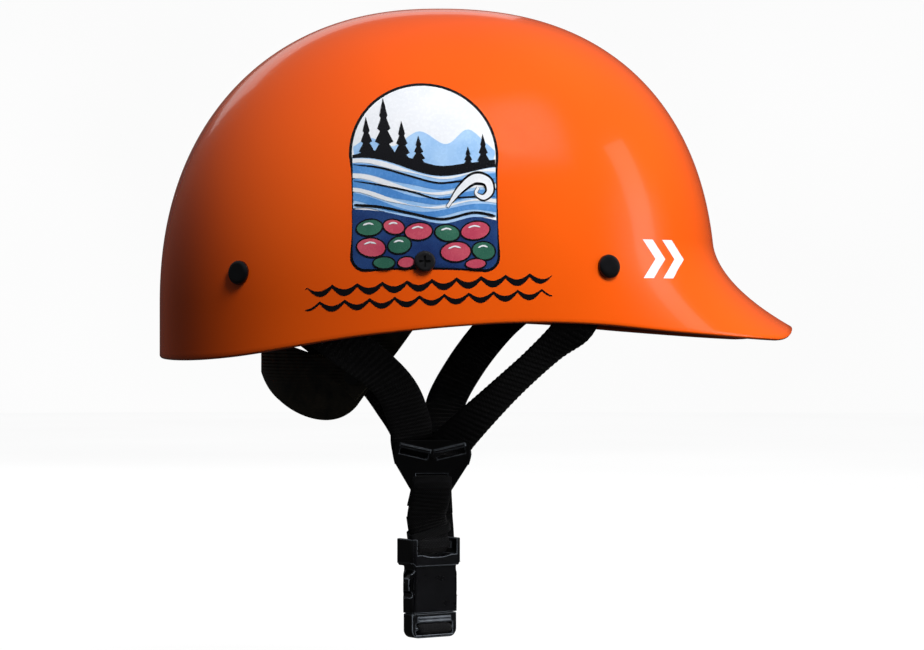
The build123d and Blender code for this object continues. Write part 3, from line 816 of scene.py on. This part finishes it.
def stroke(points, width, count=60, ends=0.15):
    """Outline of a brush stroke that narrows over its end shares."""
    line = smooth_through(points, count)
    along = np.gradient(line, axis=0)
    along /= np.linalg.norm(along, axis=1)[:, None]
    out = np.stack([-along[:, 1], along[:, 0]], axis=1)
    share = np.linspace(0, 1, len(line))
    half = width / 2 * np.clip(np.minimum(share, 1 - share) / ends, 0.12, 1) ** 0.6
    return np.vstack([line + out * half[:, None], (line - out * half[:, None])[::-1]])


INKS = {
    "black": ink("ink_black", (0.004, 0.004, 0.006)),
    "navy": ink("ink_navy", (0.010, 0.030, 0.13), (0.020, 0.060, 0.20)),
    "blue": ink("ink_blue", (0.07, 0.24, 0.60), (0.11, 0.32, 0.70)),
    "pale": ink("ink_pale_blue", (0.30, 0.52, 0.84), (0.42, 0.64, 0.92)),
    "white": ink("ink_white", (0.80, 0.83, 0.88), (0.86, 0.88, 0.92)),
    "pink": ink("ink_pink", (0.50, 0.050, 0.105), (0.62, 0.10, 0.15)),
    "green": ink("ink_green", (0.020, 0.105, 0.070), (0.045, 0.17, 0.11)),
}
BADGE_LEFT, BADGE_RIGHT, BADGE_FOOT, BADGE_SPRING = -48.0, 20.0, 22.5, 76.0


def badge_outline(inset):
    """Arched panel with rounded lower corners."""
    left, right, foot = BADGE_LEFT + inset, BADGE_RIGHT - inset, BADGE_FOOT + inset
    corner = 7.0 - inset
    radius, centre = (BADGE_RIGHT - BADGE_LEFT) / 2 - inset, (BADGE_LEFT + BADGE_RIGHT) / 2
    quarter, half = np.linspace(0, pi / 2, 8), np.linspace(0, pi, 40)
    loop = [(left + corner - corner * cos(a), foot + corner - corner * sin(a)) for a in quarter]
    loop += [(right - corner + corner * sin(a), foot + corner - corner * cos(a)) for a in quarter]
    return loop + [(centre + radius * cos(a), BADGE_SPRING + radius * sin(a)) for a in half]


def water_band(top, bottom, shift):
    """Strip of water between two flowing lines, from one edge of the panel to the other."""
    swell, inset = 2.6, 1.6
    x = np.linspace(BADGE_LEFT + inset, BADGE_RIGHT - inset, 40)
    share = (x - x[0]) / (x[-1] - x[0])
    flow = swell * np.sin(2.2 * pi * share + shift) + 5.0 * (1 - share) ** 2
    upper = np.stack([x, top + flow], axis=1)
    lower = np.stack([x, bottom + flow * 0.8 + 0.5 * np.sin(5 * pi * share + shift)], axis=1)
    return np.vstack([upper, lower[::-1]])


def fir(x, foot, height, width):
    """Simple conifer: stacked skirts that narrow to the tip."""
    tiers, left, right = 5, [], []
    for k in range(tiers):
        low, reach = foot + height * k / (tiers + 0.4), width / 2 * (1 - k / (tiers + 0.6))
        left += [(x - reach, low), (x - reach * 0.42, low + height / (tiers + 1.6))]
        right += [(x + reach, low), (x + reach * 0.42, low + height / (tiers + 1.6))]
    return left + [(x, foot + height)] + right[::-1]


def pebble(x, z, a, b, tilt):
    """Rounded river stone."""
    turns = np.linspace(0, 2 * pi, 36, endpoint=False)
    u = a * np.cos(turns) + 0.06 * a * np.cos(2 * turns)
    v = b * np.sin(turns) + 0.08 * b * np.sin(2 * turns)
    t = radians(tilt)
    return np.stack([x + u * cos(t) - v * sin(t), z + u * sin(t) + v * cos(t)], axis=1)


def build_badge(side, word):
    """A generic river scene: firs, flowing water, a breaking crest and round stones."""
    lifts = iter(np.arange(0.00010, 0.002, 0.00006))
    left, right = -46.4, 18.4

    def layer(part, loops, colour):
        """The next coat of ink, printed over the ones before it."""
        print_area(f"badge_{part}_{word}", loops, INKS[colour], side, next(lifts))

    layer("edge", [badge_outline(0)], "black")
    layer("sky", [badge_outline(1.3)], "white")
    hills = smooth_through([(-46, 80), (-38, 84), (-28, 80), (-16, 87), (-4, 81), (6, 88), (14, 82),
                            (right, 78)], 50)
    layer("hills", [np.vstack([hills, [(right, 66), (left, 66)]])], "pale")
    trees = [fir(-40, 68, 26, 11), fir(-32, 70, 33, 13), fir(-24, 68, 24, 11), fir(-16.5, 68, 17, 9),
             fir(13, 66, 20, 9), fir(6, 66, 14, 8)]
    layer("firs", trees, "black")
    bank = smooth_through([(left, 76), (-36, 78), (-22, 75), (-8, 71), (4, 72), (right, 74)], 40)
    layer("bank", [np.vstack([bank, [(right, 60), (left, 60)]])], "black")
    layer("water", [water_band(68, 46, 0.6)], "pale")
    stream = ((65.0, 61.5, 0.9), (57.5, 54.5, 1.3), (51, 48.5, 1.6))
    layer("stream", [water_band(*band) for band in stream], "blue")
    foam_lines = ((67.6, 66.6, 0.7), (60.2, 59.0, 1.1), (53.4, 52.6, 1.4))
    layer("foam", [water_band(*band) for band in foam_lines], "white")
    deep = [(x, z) for x, z in badge_outline(1.3) if z < 45]
    surface = smooth_through([(18.7, 46), (8, 47.5), (-6, 44.5), (-20, 47), (-34, 50), (-46.7, 51)], 40)
    layer("deep", [deep + [tuple(p) for p in surface]], "navy")
    lines = [stroke([(18, 48), (8, 49.5), (-6, 46.5), (-20, 49), (-34, 52), (-46, 53)], 1.1, ends=0.02),
             stroke([(-46, 64), (-34, 62), (-20, 59), (-8, 55.6), (4, 56.5), (18, 57)], 0.7),
             stroke([(-46, 71.5), (-34, 70), (-20, 66), (-8, 63), (4, 64), (18, 65)], 0.8)]
    layer("lines", lines, "black")
    crest = [(-4, 52), (2, 60), (8.5, 65), (14.2, 64), (15.6, 59.4), (12.6, 56.4), (9.2, 58.2),
             (10.2, 60.8)]
    layer("crest_edge", [stroke(crest, 6.4, ends=0.5)], "black")
    layer("crest", [stroke(crest, 4.4, ends=0.6)], "white")
    # place of the middle, the two half sizes, the tilt in degrees and the colour
    stones = [(-39.5, 42.5, 5.6, 3.4, 8, "green"), (-28.5, 43.0, 4.6, 3.0, -12, "pink"),
              (-17.5, 40.8, 6.0, 3.6, 5, "pink"), (-4.5, 40.2, 5.4, 3.4, -8, "green"),
              (8.2, 41.2, 6.4, 3.8, 10, "pink"), (-38.8, 33.6, 6.2, 4.0, -6, "pink"),
              (-26.0, 34.6, 5.0, 3.6, 12, "green"), (-0.8, 31.6, 6.6, 4.2, 4, "pink"),
              (12.0, 32.2, 5.0, 3.8, -10, "green"), (-33.0, 26.6, 4.6, 2.4, 0, "green"),
              (-23.0, 26.8, 3.6, 2.2, 6, "pink"), (8.4, 26.2, 4.4, 2.0, 4, "pink")]
    layer("stone_edges", [pebble(x, z, a + 0.7, b + 0.7, t) for x, z, a, b, t, _ in stones], "black")
    for colour in ("pink", "green"):
        layer(f"stones_{colour}", [pebble(*stone[:5]) for stone in stones if stone[5] == colour], colour)
    glints = [stroke([(x - a * 0.45, z + b * 0.35), (x, z + b * 0.58), (x + a * 0.42, z + b * 0.42)],
                     0.7, count=14) for x, z, a, b, _, _ in stones[:9]]
    layer("glints", glints, "white")


def build_wave_line(side, word):
    """Two plain rows of pointed waves under the panel."""
    start, end, wave, climb, dip = -68, 44, 11.2, 0.058, 3.2
    loops = []
    for foot, shift, weight in ((15.4, 0.0, 2.7), (8.4, 0.5, 2.3)):
        x = np.linspace(start, end, 225)
        swing = np.abs(np.sin(pi * (x / wave + shift)))
        centre = foot + climb * (x - start) - dip * swing ** 0.9
        taper = np.clip(np.minimum(x - start, end - x) / 9, 0.08, 1) ** 0.6
        half = weight / 2 * (0.62 + 0.5 * swing) * taper
        upper, lower = np.stack([x, centre + half], axis=1), np.stack([x, centre - half], axis=1)
        loops.append(np.vstack([upper, lower[::-1]]))
    print_area(f"wave_line_{word}", loops, INKS["black"], side, 0.00012)


def build_chevrons(side, word):
    """Two plain chevrons ahead of the front rivet."""
    foot, middle, top, bar, lean = 20.2, 29.2, 38.2, 5.2, 6.4
    loops = []
    for x in (88.6, 98.8):
        loops.append([(x, foot), (x + bar, foot), (x + bar + lean, middle), (x + bar, top), (x, top),
                      (x + lean, middle)])
    print_area(f"chevrons_{word}", loops, INKS["white"], side, 0.00012)


def build_graphics(side, word):
    build_badge(side, word)
    build_wave_line(side, word)
    build_chevrons(side, word)


# ---- carried-over CAD nodes --------------------------------------------------------------------
def finish_cad_nodes():
    """Materials for the CAD nodes that stay, with their edges rounded and, on the fittings, the rounding
    coloured as a painted highlight.
    """
    looks = {
        "anchor_rivets": (NYLON, 0), "anchor_nuts": (NYLON, 0.0003),
        "cradle_screws": (SCREW_BLACK, 0.0002), "cradle_spacers": (SATIN_ALUMINIUM, 0.0002),
        "cradle_nuts": (ZINC, 0.0002), "cradle_studs": (NYLON, 0.0003), "cradle_cup": (CRADLE, 0.0009),
        "cradle_arm_right": (CRADLE, 0.0005), "cradle_arm_left": (CRADLE, 0.0005),
        "buckle_socket": (ACETAL, 0.00035), "buckle_tongue": (ACETAL, 0.0005),
        "buckle_prong_front": (ACETAL, 0.0004), "buckle_prong_rear": (ACETAL, 0.0004),
        "divider_right": (ACETAL, 0.0004), "divider_left": (ACETAL, 0.0004),
    }
    for name, (material, bevel) in looks.items():
        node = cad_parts[name]
        node.data.materials.clear()
        node.data.materials.append(material)
        if bevel:
            edges = add_bevel(node, bevel)
            if material is ACETAL:
                # the bevel faces take the painted edge highlight colour
                node.data.materials.append(EDGE_HIGHLIGHT_PAINT)
                edges.material = 1
            # a clamp would leave the socket with no bevel at all, because of its smallest faces
            edges.use_clamp_overlap = name != "buckle_socket"


# ---- stage -------------------------------------------------------------------------------------
def area_light(name, place, aim, size, power, mirrored=False):
    """Soft lamp in watts; only a mirrored one shows as a reflection in glossy surfaces."""
    light = bpy.data.lights.new(name, "AREA")
    light.shape = "RECTANGLE"
    light.size, light.size_y = size
    light.energy = power
    lamp = bpy.data.objects.new(name, light)
    bpy.context.scene.collection.objects.link(lamp)
    lamp.location = place
    lamp.rotation_euler = (Vector(aim) - Vector(place)).to_track_quat("-Z", "Y").to_euler()
    lamp.visible_glossy = mirrored
    lamp.visible_camera = False


def dome(radius):
    """Vertices and faces of the round room."""
    rows, columns = 24, 48
    tilt = np.linspace(0.02, pi - 0.02, rows)[:, None]
    turn = np.linspace(0, 2 * pi, columns, endpoint=False)[None]
    points = np.stack([radius * np.sin(tilt) * np.cos(turn), radius * np.sin(tilt) * np.sin(turn),
                       radius * np.cos(tilt) + 0 * turn], axis=-1)  # 0 * turn fills the grid
    caps = [tuple(range(columns)), tuple(range((rows - 1) * columns, rows * columns))[::-1]]
    return points.reshape(-1, 3), grid_faces(rows, columns) + caps


def build_floor_and_room():
    """A pale floor inside a plain white studio. Neither lights the helmet or is mirrored in it."""
    drop, reach, room_radius = 0.03, 5.0, 7.0
    n = Nodes("pale_floor")
    tone = n.ramp(n.noise(2, 2), [(0.3, (0.96, 0.96, 0.96)), (0.7, (0.98, 0.98, 0.98))])
    n.set(Base_Color=(0.1, 0.1, 0.1, 1), Roughness=0.9, Specular_IOR_Level=0.0, Emission_Color=tone,
          Emission_Strength=0.97)
    floor_z = CAD_BOX[0].z - drop
    turns = np.linspace(0, 2 * pi, 64, endpoint=False)
    rim = [(reach * cos(a), reach * sin(a), floor_z) for a in turns]
    floor = new_object("pale_floor", rim, [tuple(range(64))], n.material)
    n = Nodes("white_studio")
    tone = n.ramp(n.noise(1, 2), [(0.3, (0.96, 0.96, 0.96)), (0.7, (0.98, 0.98, 0.98))])
    n.set(Base_Color=(0, 0, 0, 1), Specular_IOR_Level=0.0, Emission_Color=tone, Emission_Strength=1.0)
    room = new_object("white_studio", *dome(room_radius), n.material)
    for piece in (floor, room):
        piece.visible_glossy = False
        piece.visible_diffuse = False
    room.visible_shadow = False


def build_lights():
    """Soft lamps, and a plain sky that is brighter overhead."""
    area_light("key", (0.84, -1.34, 1.74), (0, 0, 0.04), (1.0, 1.0), 66)
    area_light("fill", (2.25, -0.6, 0.4), (0, 0, 0.04), (1.0, 1.0), 20)
    area_light("back", (-0.9, 2.0, 0.9), (0, 0, 0.0), (1.0, 1.0), 28)
    area_light("edge", (2.0, -0.5, 0.7), (0, 0, 0), (0.5, 1.4), 2.0, mirrored=True)
    area_light("rim", (-0.3, 1.5, 0.9), (0, 0, 0), (1.3, 0.5), 1.0, mirrored=True)
    world = bpy.data.worlds.new("studio")
    bpy.context.scene.world = world
    world.use_nodes = True
    tree = world.node_tree
    place = tree.nodes.new("ShaderNodeTexCoord")
    split = tree.nodes.new("ShaderNodeSeparateXYZ")
    sky = tree.nodes.new("ShaderNodeValToRGB")
    tree.links.new(place.outputs["Generated"], split.inputs[0])
    tree.links.new(split.outputs[2], sky.inputs[0])
    sky.color_ramp.elements[0].color = (0.025, 0.025, 0.025, 1)
    sky.color_ramp.elements[1].position = 0.9
    sky.color_ramp.elements[1].color = (0.17, 0.175, 0.185, 1)
    tree.links.new(sky.outputs[0], tree.nodes["Background"].inputs[0])
    tree.nodes["Background"].inputs[1].default_value = 1.0
    bpy.context.scene.view_settings.view_transform = "Standard"


def build_camera():
    """Level with the rim, 5 degrees towards the back of the side view, at arm's length."""
    distance, azimuth, width_at_object, sensor = 1.5, radians(-5), 0.4528, 36
    target = Vector((0.01225, 0, -0.0015))
    lens = bpy.data.cameras.new("camera")
    lens.sensor_width = sensor
    lens.lens = sensor * distance / width_at_object
    camera = bpy.data.objects.new("camera", lens)
    bpy.context.scene.collection.objects.link(camera)
    camera.location = target + Vector((sin(azimuth), -cos(azimuth), 0)) * distance
    camera.rotation_euler = (target - camera.location).to_track_quat("-Z", "Y").to_euler()
    bpy.context.scene.camera = camera


build_camera()
build_floor_and_room()
build_lights()
build_shell()
for side, word in SIDES:
    for which in ("front", "rear"):
        build_harness_strap(which, side, word)
    build_graphics(side, word)
build_chin_straps()
build_keeper()
build_liner()
build_cradle_pad()
finish_cad_nodes()
